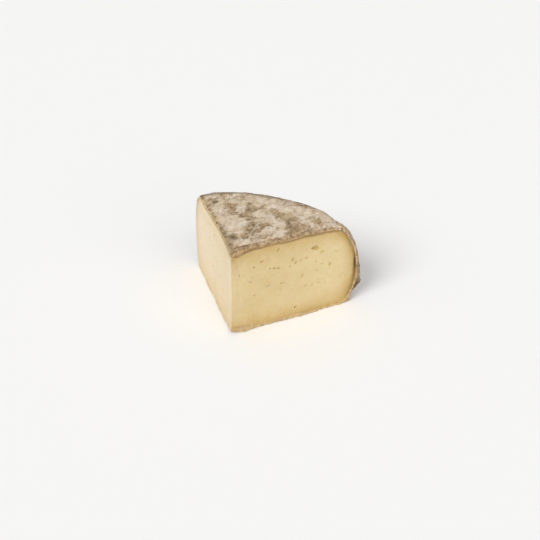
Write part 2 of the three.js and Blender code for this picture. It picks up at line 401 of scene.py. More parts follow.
# %% [markdown]
# ## How thick the rind is
#
# On the real wedge the rind is a band round each cut face. On top of the right cut it is
# about 6 mm at the point, where the knife dragged it down, 4 halfway and 2 at the rim. On
# top of the left one it is 7 to 5. Down the side it is 1 to 1.5 mm, and over 2 near the
# ground at the right cut. Under the foot it is 1 to 2. Where no cut shows it, it is
# thicker. Its inner edge wanders, so a little noise goes into all of it.

# %% The thickness of the rind
RIGHT_TOP = (6.2, 4.0, 2.1)  # at the point, halfway and at the rim, in millimetres
LEFT_TOP = (7.4, 5.0, 4.8)
SIDE_RIND = (0.9, 1.5)  # at the right cut and at the left one
LOW_SIDE_RIND = 1.3  # how much thicker the side's is near the ground, at the right cut
LOW_FROM = (22, 8)  # the heights where that starts and where it is full
FOOT_RIND = (1.8, 1.2)  # at the point and further out
FOOT_RUN = 30
RIND_WANDER = 0.75
HIDDEN_RIND = 2.2  # how much thicker it is away from the cuts
HIDDEN_FROM = 0.03  # of the turn
UNDERLAP = 0.9  # how far the paste reaches into the rind


def inset(out, up, turn, less=0.0):
    """The address inside the rind that belongs to an outer one, less some millimetres."""
    place = wedge_point(out, up, turn)
    x, y, z = xyz(place)
    wander = RIND_WANDER * (noise(x, y, z, length=11, seed=43) + 0.5 * noise(x, y, z, length=4, seed=47))
    off_axis = smoothstep(out, 0, 0.06)
    left = smoothstep(turn, 0.3, 0.7) * off_axis
    from_cut = np.minimum(turn, 1 - turn)
    hidden = HIDDEN_RIND * smoothstep(from_cut, 0, HIDDEN_FROM) * off_axis
    point, halfway, rim = (lerp(*pair, left) for pair in zip(RIGHT_TOP, LEFT_TOP))
    inward = lerp(point, halfway, smoothstep(out, 0, 0.15))
    top = lerp(inward, rim, smoothstep(out, 0.5, 0.85)) + wander * lerp(1, 0.7, left) + hidden
    side = lerp(*SIDE_RIND, left) + 0.3 * wander + hidden
    side = side + LOW_SIDE_RIND * smoothstep(z, *LOW_FROM) * (1 - left)
    broken = 0.35 * noise(x, y, 0 * z, length=6, seed=53) * off_axis
    foot = lerp(*FOOT_RIND, smoothstep(length_of(place), 4, FOOT_RUN)) * (1 - 0.4 * left)
    foot = foot + broken * (1 - 0.7 * left) + hidden
    kept = less * smoothstep(np.hypot(x, y), 0, POINT_FLUSH)
    inner_up = lerp((foot - kept) / WHEEL_HEIGHT, 1 - (top - kept) / WHEEL_HEIGHT, up)
    return out * (1 - (side - kept) / WIDEST_RADIUS), inner_up, turn


for cut_name, turn in (("right", 0), ("left", 1)):
    halfway = WHEEL_HEIGHT * (1 - inset(0.5, 1, turn)[1])
    print(f"the rind halfway along the top of the {cut_name} cut: {halfway:.1f} mm thick")

# %% [markdown]
# ## The cut edge of the rind
#
# A knife doesn't leave a sharp edge on a rind. On top and down the side the edge is a
# little rounded. At the foot the rind is dry and breaks, so its edge is a ragged lip of
# crumbs that sticks out in front of the paste.

# %% The outside of the rind
EDGE_DROP = (0.8, 0.5)  # on top and down the side
EDGE_REACH = (1.5, 0.9)  # how far from the cut the rounding starts
CRUMB_RISE = 1.3
CRUMB_HEIGHT = 1.5  # how high above the ground the ragged lip reaches
TOE_RISE = 2.6  # how far the rind's lowest corner sticks out at the right cut


def crumbs(places):
    """How far the ragged lip of the foot sticks out at a place on a cut edge."""
    x, y, z = xyz(places)
    coarse, fine = noise(x, y, 0 * z, length=8, seed=61), noise(x, y, z, length=2.2, seed=67)
    ragged = 0.3 + 0.6 * smoothstep(coarse, -0.2, 0.05) + 0.5 * fine
    return CRUMB_RISE * ragged * bump(z, CRUMB_HEIGHT) * smoothstep(length_of(places), 1, 5)


def rind_point(out, up, turn):
    """A point of the wedge with the rounding and the crumbs of the rind's cut edge."""
    place = wedge_point(out, up, turn)
    out, up, turn = same_shape(out, up, turn)
    radius = length_of(place)
    outward = place * (1, 1, 0) / np.maximum(radius, 1e-6)[..., None]
    for side in (0, 1):
        to_cut = np.abs(turn - side) * WEDGE_ANGLE * radius
        off_point = smoothstep(radius, 2, 12)
        top_drop, side_drop = (
            drop * bump(to_cut, reach) * off_point for drop, reach in zip(EDGE_DROP, EDGE_REACH)
        )
        place = moved(place, -top_drop * smoothstep(up, 0.9, 1), (0, 0, 1))
        place = moved(place, -side_drop * smoothstep(out, 0.9, 1), outward)
        toe = TOE_RISE * bump(place[..., 2], 4) * bump(to_cut, 4) * smoothstep(out, 0.9, 1)
        place = moved(place, toe * (1 - side), outward)
        lip = crumbs(place) * bump(to_cut, 1.6) * (1 - 0.9 * side)
        place = moved(place, lip, cut_normal(side))
    return place


# %% [markdown]
# ## The rind as a shell
#
# The rind could be a skin on the paste, but a real one has a thickness that the cut lays
# bare, and its edge stands a little proud of the paste. So it is a shell: an outer grid
# that runs out along the foot, up the side and back over the top, an inner grid under it,
# and a narrow strip along each cut that joins the two. The outer grid is fine, because the
# relief is pushed out of it, and finest near the cuts, which are seen from close by. The
# inner one is never seen and stays coarse.

# %% The rind's grid
TOP_STEP = 0.56  # millimetres between the outer grid's lines
SIDE_STEP = 0.62
FOOT_STEP = 0.8
TURN_LINES = 205
CROWDING = 0.07  # how strongly they draw together at the cuts
SIDE_BULGE = 1.12  # how much longer the bulging side is than the wheel is high
HIDDEN_TURNS = 11
STRIP_STEPS = 6


def steps(length, step):
    return np.linspace(0, 1, int(round(length / step)) + 1)


foot_outs = steps(FOOT_RIM_RADIUS, FOOT_STEP)
side_ups = steps(SIDE_BULGE * WHEEL_HEIGHT, SIDE_STEP)
top_outs = steps(FULL_RIM["radius"], TOP_STEP)[::-1]
path_out = np.concatenate([foot_outs, np.ones(len(side_ups) - 2), top_outs])[:, None]
path_up = np.concatenate([0 * foot_outs, side_ups[1:-1], np.ones(len(top_outs))])[:, None]
hidden_turns = np.concatenate([[0], np.linspace(HIDDEN_FROM, 1 - HIDDEN_FROM, HIDDEN_TURNS), [1]])
even_turns = np.linspace(0, 1, TURN_LINES + 1)
turns = even_turns - CROWDING * np.sin(2 * math.pi * even_turns)
turns[-1] = 1
print("the rind's grid:", len(path_out), "by", len(turns))

# %% [markdown]
# ## What is special about this rind
#
# Noise mottles the rind, but it can't tell where this wedge has its largest patches of
# mould and of bare rind. Those are placed one by one, with one hollow and two dents. The
# mould is rubbed off beside the cuts. A band just inside the left half of the rim is rubbed
# dark, and the edge of the left cut is grimy near the point. Around the fold's belly the
# rind is torn and nicked, and higher up a gap opens between the fold and the paste. The
# cut edge on top is thin towards the rim.

# %% Patches and worn places
# Where each patch of the top lies, in millimetres from the wheel's axis, and half its size
# across and along.
MOULD_PATCHES = [
    (-30, 45, 5, 9), (-19, 56, 4, 11), (-11, 29, 6, 10), (5, 10, 5, 4), (-10, 71, 7, 5),
    (-3, 51, 4, 4), (7, 48, 4, 6), (21, 29, 4, 6), (13, 65, 5, 4), (24, 67, 4, 4),
    (29, 53, 3, 3), (40, 67, 6, 5), (50, 59, 4, 4), (-47, 58, 3, 3), (12, 32, 3, 4),
    (-25, 60, 5, 4), (5, 67, 5, 4), (18, 69, 5, 3), (-44, 64, 4, 5), (-29, 73, 3, 3),
    (-9, 80, 3, 6), (9, 81, 3, 5),
]
BARE_PATCHES = [
    (-5, 14, 3, 5), (-20, 45, 3, 5), (-4, 40, 3, 7), (0, 27, 3, 3), (8, 32, 2, 6),
    (25, 44, 4, 8), (15, 53, 3, 5), (-8, 57, 2, 3), (38, 58, 3, 4), (4, 62, 2, 2),
    (-13, 17, 2, 4), (1, 3, 3, 3), (20, 49, 4, 5), (-11, 43, 3, 3), (10, 39, 3, 3),
    (32, 46, 3, 3), (19, 57, 3, 3),
]
HOLLOWS = [(-38, 55, 2.6, 3.2)]
DENTS = [(-5, 14, 4.2, 6), (0, 27, 2.4, 2.4)]
DENT_SHARE = 0.6  # how deep a dent is beside a hollow
PATCH_LEAN = math.radians(21)  # their length leans this far to the left of +Y
RUBBED_AT = 9.5  # how far inside the rim
RUBBED_REACH = 2.7
RUBBED_FROM = (0.3, 0.5)  # of the turn
GRIMY_TO = (34, 12)  # how far from the point the grime ends, and where it is full
GRIMY_REACH = 5

GAP_HEIGHT = 34  # of the middle of the gap between the fold and the paste
GAP_REACH = 6.5
GAP_WIDTH = 1.1
NICK_AT = (12, 1.3)  # how high, and how far behind the right cut
NICK_REACH = (4, 0.9)
TORN_AT = (17, 3)
TORN_REACH = (10, 4)

BARE_REACH = (1.6, 3.4)  # how far from each cut the mould is rubbed off
BARE_SHARE = 0.3  # the part of the cut edge that lies outside, on the bare rind
THIN_FROM = (48, 74)  # how far from the point the top's cut edge begins to be thin, and is


def patches(places, spots):
    """How far inside one of some patches a place is, from 0 to 1."""
    most = 0
    for x, y, wide, long in spots:
        aside, along = places[..., 0] - x, places[..., 1] - y
        across = aside * math.cos(PATCH_LEAN) + along * math.sin(PATCH_LEAN)
        ahead = along * math.cos(PATCH_LEAN) - aside * math.sin(PATCH_LEAN)
        most = np.maximum(most, bump(np.hypot(across / wide, ahead / long), 1))
    return most


def gap_at(height, behind):
    """How deep a place of the side lies in the gap between the fold and the paste."""
    return bump(height - GAP_HEIGHT, GAP_REACH) * bump(behind, GAP_WIDTH)


def spot_on_side(height, behind, at, reach):
    """How close a place of the side is to the middle of a damaged spot, from 0 to 1."""
    return bump(height - at[0], reach[0]) * bump(behind - at[1], reach[1])


# %% [markdown]
# The outer grid carries a mask for each of these places, and for where the side, the foot
# and the cuts are. The relief and the material read the masks.

# %% The outside of the rind and its masks
def add_outside(skin, out, up):
    outer = rind_point(out, up, turns)
    height = outer[..., 2]
    off_foot = smoothstep(height, 0.3, 3)
    on_side = smoothstep(out, 0.9, 1)
    on_top = smoothstep(up, 0.95, 1)
    behind = turns * WEDGE_ANGLE * WIDEST_RADIUS
    nick = spot_on_side(height, behind, NICK_AT, NICK_REACH)
    arc = WEDGE_ANGLE * length_of(outer)
    bare = bump(arc * turns, BARE_REACH[0]) + bump(arc * (1 - turns), BARE_REACH[1])
    from_rim = np.maximum(*depths(out, up)[:2])
    rubbed = bump(from_rim - RUBBED_AT, RUBBED_REACH) * smoothstep(turns, *RUBBED_FROM)
    grimy = bump(arc * (1 - turns), GRIMY_REACH) * smoothstep(length_of(outer), *GRIMY_TO)
    skin.grid(
        outer, True,
        skin=lerp(0.15, 1, off_foot),
        cut=BARE_SHARE * np.minimum(bare, 1),
        low=1 - off_foot,
        side=smoothstep(out, 0.96, 1) * (1 - 0.5 * smoothstep(up, 0.965, 1)) * off_foot,
        left=np.round(turns),
        notch=np.maximum(nick, gap_at(height, behind)) * on_side,
        torn=spot_on_side(height, behind, TORN_AT, TORN_REACH) * on_side,
        grown=(patches(outer, MOULD_PATCHES) - patches(outer, BARE_PATCHES)) * on_top,
        hollow=np.maximum(patches(outer, HOLLOWS), DENT_SHARE * patches(outer, DENTS)) * on_top,
        rubbed=np.maximum(rubbed, 0.5 * grimy) * on_top,
    )


# %% [markdown]
# The inner grid only closes the shell. The strips along the cuts join it to the outer one.
# A rind breaks more than it cuts, so each strip bulges a little between its two edges, and
# more where crumbs stick out of the foot.

# %% The inside of the rind, and its cut edges
def add_inside(skin, out, up):
    inner = wedge_point(*inset(out, up, hidden_turns))
    low = 1 - smoothstep(inner[..., 2], 3, 7)
    side = smoothstep(out, 0.93, 0.98) * (1 - low)
    skin.grid(inner, False, cut=1, low=low, side=side, left=np.round(hidden_turns))


def add_cut_edge(skin, out, up, turn):
    share = np.linspace(0, 1, STRIP_STEPS + 1)
    edge, inside = rind_point(out, up, turn), wedge_point(*inset(out, up, turn))
    strip = lerp(edge, inside, share[..., None])
    belly = 4 * share * (1 - share)
    swell = belly * (0.25 + 0.4 * crumbs(strip)) * smoothstep(length_of(strip), 0, 3)
    strip = moved(strip, swell, cut_normal(turn))
    height, from_point = strip[..., 2], length_of(strip)
    on_side = smoothstep(out, 0.93, 0.98)
    skin.grid(
        strip, turn == 1,
        skin=0.6 - 0.4 * turn,
        cut=lerp(BARE_SHARE, 1, share),
        low=1 - smoothstep(height, 1.5, 5),
        side=on_side,
        left=turn,
        notch=gap_at(height, 0) * on_side * (1 - turn),
        thin=smoothstep(from_point, *THIN_FROM),
        rubbed=0.5 * turn * smoothstep(from_point, *GRIMY_TO) * (up > 0.5),
    )


def rind_mesh():
    skin = Skin([
        "skin", "cut", "low", "side", "left", "notch", "torn", "grown", "hollow", "rubbed", "thin",
    ])
    add_outside(skin, path_out, path_up)
    add_inside(skin, path_out, path_up)
    for turn in (0, 1):
        add_cut_edge(skin, path_out, path_up, turn)
    return skin.mesh("rind")


rind = show(rind_mesh())
measure(rind.data)

# %% [markdown]
# ## The block of paste
#
# The paste fills the rind. Its two cut faces are fine grids, set back a little from the
# edge of the rind, and its hidden sides are coarse ones that reach a little way into the
# rind, so that no gap opens between the two. Where the side's rind has come loose at the
# right cut, the paste's edge falls back into a groove.

# %% Where the paste is
FACE_STEP = 0.5
GROOVE_DEPTH = 1.7
GROOVE_WIDTH = (0.2, 3.6)  # from the rind: still deepest, and at its end
GROOVE_HEIGHT = 31  # of its middle above the ground
GROOVE_REACH = 12


def paste_point(out, up, turn):
    """A point of the paste, set back at the cuts, and how deep it lies in the groove."""
    out, up, turn = same_shape(out, up, turn)
    place = wedge_point(*inset(out, up, turn, UNDERLAP))
    recess = PASTE_RECESS * smoothstep(length_of(place), 0, POINT_FLUSH)
    recess = recess * lerp(0.5, 1, smoothstep(place[..., 2], 1, 7))
    from_rind = (1 - out) * WIDEST_RADIUS - UNDERLAP
    groove = bump(place[..., 2] - GROOVE_HEIGHT, GROOVE_REACH)
    groove = groove * (1 - smoothstep(from_rind, *GROOVE_WIDTH)) * (turn == 0)
    for side in (0, 1):
        back = (recess + GROOVE_DEPTH * groove) * (turn == side)
        place = moved(place, -back, cut_normal(side))
    return place, groove


# %% [markdown]
# The paste darkens to amber towards the rind where it has dried, and low down also by
# painted shade. Where the two meet, a brown line is mostly painted shadow, under the rind's
# lip and in the groove. The left face is paler, partly drier and partly painted light, and
# both grow a little paler away from the point, which is painted light too. Each point keeps
# how much it has of these four, and how far inside the rind it lies, which the pinholes need later.

# %% The paste's tints and its mesh
def paste_tints(out, up, place, groove, turn):
    """The tints of a cut face, each from 0 to 1, and how far inside each point lies."""
    from_side, from_top, from_foot = (depth - UNDERLAP for depth in depths(out, up))
    x, y, z = xyz(place)
    drift = 1 + 0.35 * noise(x, y, z, length=13, seed=71)
    near = 0.5 * bump(from_side, 10 * drift)
    near = near + 0.65 * bump(from_side, 5.5) * (1 - 0.45 * bump(from_top, 16))
    near = near * (1 - 0.6 * turn)  # so far along the side, and less on the left face
    # Painted shade: the broad terms along the foot darken the low part of each face.
    # The next two lines are along the foot, and the last one along the top.
    near = near + 0.15 * bump(from_foot, 24) + 0.5 * bump(from_foot, 9 * drift)
    near = near + 0.35 * bump(from_foot, 4) + 0.35 * turn * bump(from_foot, 26)
    near = near + 0.7 * bump(from_top, 11 * drift)
    from_point = length_of(place)
    # The stain here is mostly painted shadow: a dark line under the rind's lip, along the side's rind
    # and in the groove, where the rind's shade falls on the paste.
    under_lip_shadow = 0.92 * bump(np.maximum(from_top - 0.6, 0), 1.35)
    under_lip_shadow = under_lip_shadow * lerp(0.3, 1, smoothstep(from_point, 6, 16))
    under_lip_shadow = under_lip_shadow * lerp(1, 0.7, smoothstep(from_point, *THIN_FROM))
    under_lip_shadow = np.maximum(under_lip_shadow, 0.32 * bump(from_top, 3.4) * bump(from_point, 15))
    stain = np.maximum(under_lip_shadow, 0.6 * bump(from_side, 2.9)) * lerp(0.4, 1, smoothstep(z, 1, 9))
    stain = np.maximum(stain, groove * (0.4 + 0.6 * bump(from_side, 1.8)))
    return {
        # Painted light: the paste is made lighter away from the point, where the light falls brighter,
        # and close to the front edge, to lift the shade there.
        "far": np.maximum(smoothstep(from_point, 0, 85), 0.9 * bump(from_point, 9)),
        "amber": np.clip(near, 0, 1) * (1 - 0.65 * turn),
        "stain": stain * (1 - 0.8 * turn) + 0.1 * bump(from_point, 1.5),
        # Painted light: the left face is made paler, partly drier paste and partly the brighter, cooler
        # light that falls on it.
        "pale": turn * smoothstep(from_point, 0, 2) + (1 - turn) * 0.1 * bump(from_point, 3),
        "inside": np.minimum(np.minimum(from_side, from_top), from_foot),
    }


def paste_mesh():
    skin = Skin(["amber", "stain", "pale", "far", "inside"])
    outs = steps(WIDEST_RADIUS, FACE_STEP)[:, None]
    ups = steps(WHEEL_HEIGHT, FACE_STEP)
    for turn in (0, 1):
        face, groove = paste_point(outs, ups, turn)
        skin.grid(face, turn == 1, **paste_tints(outs, ups, face, groove, turn))
    skin.grid(paste_point(outs, 1.0, hidden_turns)[0], False)
    skin.grid(paste_point(outs, 0.0, hidden_turns)[0], True)
    skin.grid(paste_point(1.0, ups, hidden_turns[:, None])[0], False)
    return skin.mesh("paste")


paste = show(paste_mesh())
measure(paste.data)

# %% [markdown]
# ## Wires
#
# Node trees are drawn with a mouse in Blender, but they can also be written. The class
# below wraps one socket of a node, so that sums in Python add the Math nodes that do them.
# Any other node comes from the graph's add method: its type, its settings, and what goes
# into its sockets.

# %% Sums as nodes
class Wire:
    """One output socket of a node tree. Arithmetic on it adds Math nodes."""

    def __init__(self, graph, socket):
        self.graph = graph
        self.socket = socket

    def math(self, operation, *values):
        return self.graph.add("ShaderNodeMath", {"operation": operation}, dict(enumerate(values)))

    def other(self, name):
        """Another output of the same node."""
        return Wire(self.graph, self.socket.node.outputs[name])

    def step(self, start, end):
        """0 below start, 1 above end, smooth between."""
        settings = {"interpolation_type": "SMOOTHSTEP"}
        inputs = {"Value": self, "From Min": start, "From Max": end}
        return self.graph.add("ShaderNodeMapRange", settings, inputs)

    def at_least(self, value):
        return self.math("MAXIMUM", self, value)

    def at_most(self, value):
        return self.math("MINIMUM", self, value)

    def __add__(self, value):
        return self.math("ADD", self, value)

    def __sub__(self, value):
        return self.math("SUBTRACT", self, value)

    def __rsub__(self, value):
        return self.math("SUBTRACT", value, self)

    def __mul__(self, value):
        return self.math("MULTIPLY", self, value)

    def __rtruediv__(self, value):
        return self.math("DIVIDE", value, self)

    def __mod__(self, value):
        return self.math("MODULO", self, value)

    def __gt__(self, value):
        return self.math("GREATER_THAN", self, value)

    def __abs__(self):
        return self.math("ABSOLUTE", self)

    __radd__ = __add__
    __rmul__ = __mul__


# %% [markdown]
# The graph's other methods are short names for what comes again and again: noise, stored
# numbers, the parts of a vector, and coats of colour.

# %% Any other node
def colour(red, green, blue):
    """A colour as a painter reads it from a screen, 0 to 255, in linear light."""
    parts = [part / 255 for part in (red, green, blue)]
    linear = [p / 12.92 if p < 0.04045 else ((p + 0.055) / 1.055) ** 2.4 for p in parts]
    return (*linear, 1.0)


class Graph:
    """A node tree that is written node by node."""

    def __init__(self, tree):
        self.tree = tree
        self.links = tree.links

    def add(self, kind, settings=None, inputs=None, output=0):
        node = self.tree.nodes.new(kind)
        for name, value in (settings or {}).items():
            setattr(node, name, value)
        for name, value in (inputs or {}).items():
            for part in value if isinstance(value, list) else [value]:
                if isinstance(part, Wire):
                    self.links.new(part.socket, node.inputs[name])
                else:
                    node.inputs[name].default_value = part
        return Wire(self, node.outputs[output]) if node.outputs else None

    def stored(self, name, kind="FLOAT"):
        """What each point of the mesh carries under a name."""
        if self.tree.type == "GEOMETRY":
            return self.add("GeometryNodeInputNamedAttribute", {"data_type": kind}, {"Name": name})
        settings = {"attribute_type": "GEOMETRY", "attribute_name": name}
        return self.add("ShaderNodeAttribute", settings, None, "Fac")

    def keep(self, geometry, name, value):
        """A geometry whose points now carry a number under a name."""
        settings = {"data_type": "FLOAT", "domain": "POINT"}
        inputs = {"Geometry": geometry, "Name": name, "Value": value}
        return self.add("GeometryNodeStoreNamedAttribute", settings, inputs)

    def scaled(self, vector, share):
        return self.add("ShaderNodeVectorMath", {"operation": "SCALE"}, {0: vector, "Scale": share})

    def times(self, vector, shares):
        """A vector with a share of its own for each part."""
        return self.add("ShaderNodeVectorMath", {"operation": "MULTIPLY"}, {0: vector, 1: shares})

    def parts(self, vector):
        x = self.add("ShaderNodeSeparateXYZ", None, {"Vector": vector})
        return x, x.other("Y"), x.other("Z")

    def joined(self, x, y, z):
        return self.add("ShaderNodeCombineXYZ", None, {"X": x, "Y": y, "Z": z})

    def blobs(self, size, detail, roughness, place, distortion=0.0):
        """Cloudy noise around 0.5, with blobs of about the given size in millimetres."""
        inputs = {
            "Scale": 1 / (size * MM),
            "Detail": detail,
            "Roughness": roughness,
            "Distortion": distortion,
            "Vector": place,
        }
        return self.add("ShaderNodeTexNoise", None, inputs)

    def cells(self, size, place):
        """Distance from the middle of random cells, as a share of their size."""
        return self.add("ShaderNodeTexVoronoi", None, {"Scale": 1 / (size * MM), "Vector": place})

    def mix(self, share, start, end):
        """A colour between two, which are wires or painter's colours."""
        start, end = (colour(*tint) if isinstance(tint, tuple) else tint for tint in (start, end))
        return self.add("ShaderNodeMix", {"data_type": "RGBA"}, {0: share, 6: start, 7: end}, 2)

    def coats(self, base, *coats):
        """A base colour with others over it, each with its share."""
        for share, tint in coats:
            base = self.mix(share, base, tint)
        return base


# %% [markdown]
# ## Trees that shape a piece
#
# Geometry Nodes work on a whole mesh. A tree has named inputs, which the modifier on a
# piece sets. A helper starts such a tree, and another puts it on a piece, works it out
# and keeps the result as a plain mesh.

# %% Helpers for Geometry Nodes
SOCKETS = {"geometry": "NodeSocketGeometry", "number": "NodeSocketFloat",
           "whole": "NodeSocketInt", "material": "NodeSocketMaterial", "object": "NodeSocketObject"}


def new_tree(name, inputs):
    """A Geometry Nodes tree with named inputs. Returns its graph and its inputs."""
    tree = bpy.data.node_groups.new(name, "GeometryNodeTree")
    for label, kind in inputs.items():
        tree.interface.new_socket(label, in_out="INPUT", socket_type=SOCKETS[kind])
    tree.interface.new_socket("Geometry", in_out="OUTPUT", socket_type=SOCKETS["geometry"])
    graph = Graph(tree)
    start = tree.nodes.new("NodeGroupInput")
    given = {label: Wire(graph, start.outputs[label]) for label in inputs}
    return graph, given


def end_tree(graph, geometry, material):
    """Every tree ends the same way: no instances left, and a material on all faces."""
    real = graph.add("GeometryNodeRealizeInstances", None, {"Geometry": geometry})
    painted = graph.add("GeometryNodeSetMaterial", None, {"Geometry": real, "Material": material})
    graph.links.new(painted.socket, graph.tree.nodes.new("NodeGroupOutput").inputs["Geometry"])


def apply_tree(piece, graph, values):
    """Runs a tree on a piece with the given inputs, and leaves a plain mesh."""
    modifier = piece.modifiers.new(graph.tree.name, "NODES")
    modifier.node_group = graph.tree
    for item in graph.tree.interface.items_tree:
        if item.in_out == "INPUT" and item.name in values:
            modifier[item.identifier] = values[item.name]
    depsgraph = bpy.context.evaluated_depsgraph_get()
    shaped = piece.evaluated_get(depsgraph)
    mesh = bpy.data.meshes.new_from_object(shaped, preserve_all_data_layers=True, depsgraph=depsgraph)
    piece.modifiers.remove(modifier)
    mesh.name = piece.data.name + " shaped"
    piece.data = mesh


# %% [markdown]
# ## Materials
#
# A material is a node tree too. All of its colours depend on places and stored numbers, so
# it is the same from every side. Each one starts from the place on the piece and ends in
# fine bumps and one Principled shader.

# %% Helpers for materials
BUMP_RISE = 0.3  # millimetres


def new_material(name):
    """Returns a material, its graph and the place on the piece."""
    material = bpy.data.materials.new(name)
    material.use_nodes = True
    material.node_tree.nodes.clear()
    graph = Graph(material.node_tree)
    return material, graph, graph.add("ShaderNodeTexCoord", output="Object")


def end_material(graph, grain, strength, inputs):
    """Fine bumps, a Principled shader with the given inputs, and the output."""
    bumps = {"Height": grain, "Strength": strength, "Distance": BUMP_RISE * MM}
    inputs = inputs | {"Normal": graph.add("ShaderNodeBump", None, bumps)}
    shader = graph.add("ShaderNodeBsdfPrincipled", None, inputs)
    graph.add("ShaderNodeOutputMaterial", None, {"Surface": shader})
    print("a material of", len(graph.tree.nodes), "nodes")


# %% [markdown]
# ## The finish of the rind
#
# A tomme's rind is never one colour. Pale mould, whitish to a little pink, lies in patches
# over a grey-brown ground, and where it has not taken, the ground shows olive or darker.
# Small dark pits and cracks run through both. The relief below stores where the mould and
# the pits are, so the colours sit exactly on the bumps. Only the finest specks are drawn
# in the material alone.

# %% The colours of the rind's skin
DRAWN_OUT = (1, 0.65, 1)  # patches and spots are longer along the wedge than across it


def skin_colour(graph, place, hair, fine):
    mould, pit, side = (graph.stored(name) for name in ("mould", "pit", "side"))
    broad = graph.blobs(22, 2, 0.5, place).step(0.4, 0.6)
    blotch = graph.blobs(7, 4, 0.6, place).step(0.36, 0.64)
    specks = 1 - graph.cells(2.4, place).step(0.14, 0.36)
    speck_zone = graph.blobs(8, 2, 0.5, place, 0.4).step(0.5, 0.62)
    ground = graph.coats(
        graph.mix(broad, (186, 162, 124), (176, 146, 116)),
        (blotch * 0.75, (130, 108, 79)),  # dark blotches
        (hair.step(0.48, 0.6) * 0.65, (202, 182, 150)),  # pale threads and dark ones
        ((1 - hair.step(0.4, 0.5)) * 0.4, (130, 106, 78)),
        (fine.step(0.5, 0.62) * 0.45, (198, 178, 150)),  # pale grains and dark ones
        ((1 - fine.step(0.38, 0.5)) * 0.3, (108, 90, 66)),
    )
    powder = graph.coats(
        graph.mix(blotch, (212, 191, 165), (231, 214, 193)),
        ((1 - hair.step(0.36, 0.5)) * 0.32, (184, 158, 130)),
    )
    return graph.coats(
        graph.mix(mould, ground, powder),
        # Partly the side's own colour, partly painted shade where the rim turns away from the light.
        (side * 0.4, (120, 96, 72)),  # the side is darker than the top
        ((1 - fine.step(0.32, 0.5)) * 0.23, (126, 104, 76)),  # grains over mould and ground
        (specks * speck_zone * (1 - 0.7 * mould) * 0.7, (110, 88, 60)),
        (pit * 0.8, (100, 78, 52)),
    )


# %% [markdown]
# The cut edge of the rind has no mould. On top it is a brown band outside and a tan one
# inside, with a thin dark line of painted shade where it meets the paste. At the left cut
# both are spotted, because dirt from the skin clings to it. Down the side the edge is paler,
# and lightest near the top. At the foot it is pale and crumbly.

# %% The colours of the rind's cut edge
FLESH_PALES = (26, 44)  # the heights between which the side's cut edge grows paler


def edge_colour(graph, place, hair, fine):
    cut, low, side = (graph.stored(name) for name in ("cut", "low", "side"))
    left, thin = graph.stored("left"), graph.stored("thin")
    across = cut + (hair - 0.5) * 0.5 + (fine - 0.5) * 0.2 + left * 0.3 + thin * 0.2
    brown = graph.mix(fine.step(0.4, 0.58), (136, 110, 80), (190, 164, 132))
    spotted = graph.mix(fine.step(0.38, 0.58), (116, 92, 68), (188, 164, 128))
    brown = graph.mix(left * 0.8, brown, spotted)
    tan = graph.mix(fine.step(0.35, 0.6), (164, 132, 90), (196, 165, 120))
    tan = graph.mix(left * 0.8, tan, graph.mix(fine.step(0.3, 0.5), brown, (206, 182, 144)))
    # Painted shade: a thin dark line at the band's inner end, where the lip's shade falls.
    inner_end_shade = across.step(0.94, 1.06) * (0.6 - 0.6 * left - 0.5 * thin)
    band = graph.mix(across.step(0.6, 0.75), brown, tan)
    band = graph.mix(inner_end_shade, band, (146, 112, 64))

    high = graph.parts(place)[2].step(FLESH_PALES[0] * MM, FLESH_PALES[1] * MM)
    fresh = graph.mix(high, (196, 169, 132), (222, 197, 163))
    flesh = graph.mix(fine.step(0.38, 0.56), (156, 130, 96), fresh)
    far_edge = graph.mix(across.step(0.5, 0.9), (136, 122, 98), (210, 194, 164))
    side_edge = graph.mix(left, flesh, far_edge)
    crumb = graph.coats(
        graph.mix(hair.step(0.4, 0.6), (186, 159, 115), (202, 177, 134)),
        (side * 0.8, (168, 140, 104)),
        (left * 0.8, (216, 196, 160)),
    )
    return graph.mix(low, graph.mix(side, band, side_edge), crumb)


# %% [markdown]
# The edge lies over the skin. Where the rind is rubbed both turn dark, and where it gapes or is nicked
# they get painted shade.

# %% The rind's material
def rind_material():
    material, graph, place = new_material("rind")
    place = graph.times(place, DRAWN_OUT)
    hair = graph.blobs(3.2, 3, 0.6, place, 0.8)
    fine = graph.blobs(1.9, 3, 0.65, place)
    whole = graph.coats(
        skin_colour(graph, place, hair, fine),
        (graph.stored("cut").step(0.1, 0.3), edge_colour(graph, place, hair, fine)),
        (graph.stored("rubbed") * 0.7, (112, 96, 72)),
        # Painted shade in the gap between the fold and the paste, and in the nick.
        (graph.stored("notch") * 0.75, (92, 70, 42)),
    )
    grain = graph.blobs(0.8, 2, 0.6, place) + fine
    end_material(graph, grain, 0.5, {
        "Base Color": whole,
        "Roughness": 0.92 - 0.1 * graph.stored("mould"),
        "Specular IOR Level": 0.2,
    })
    return material


# %% [markdown]
# ## The relief of the rind
#
# The relief could be sculpted by hand or painted as a height map. It follows a rule here,
# so a Geometry Nodes tree makes it. The tree first works out from noise where the mould,
# the pits and cracks, the grain and the crags of torn rind are. The patches that are placed
# one by one only push the mould's noise up or down, so their edges are as frayed as others.

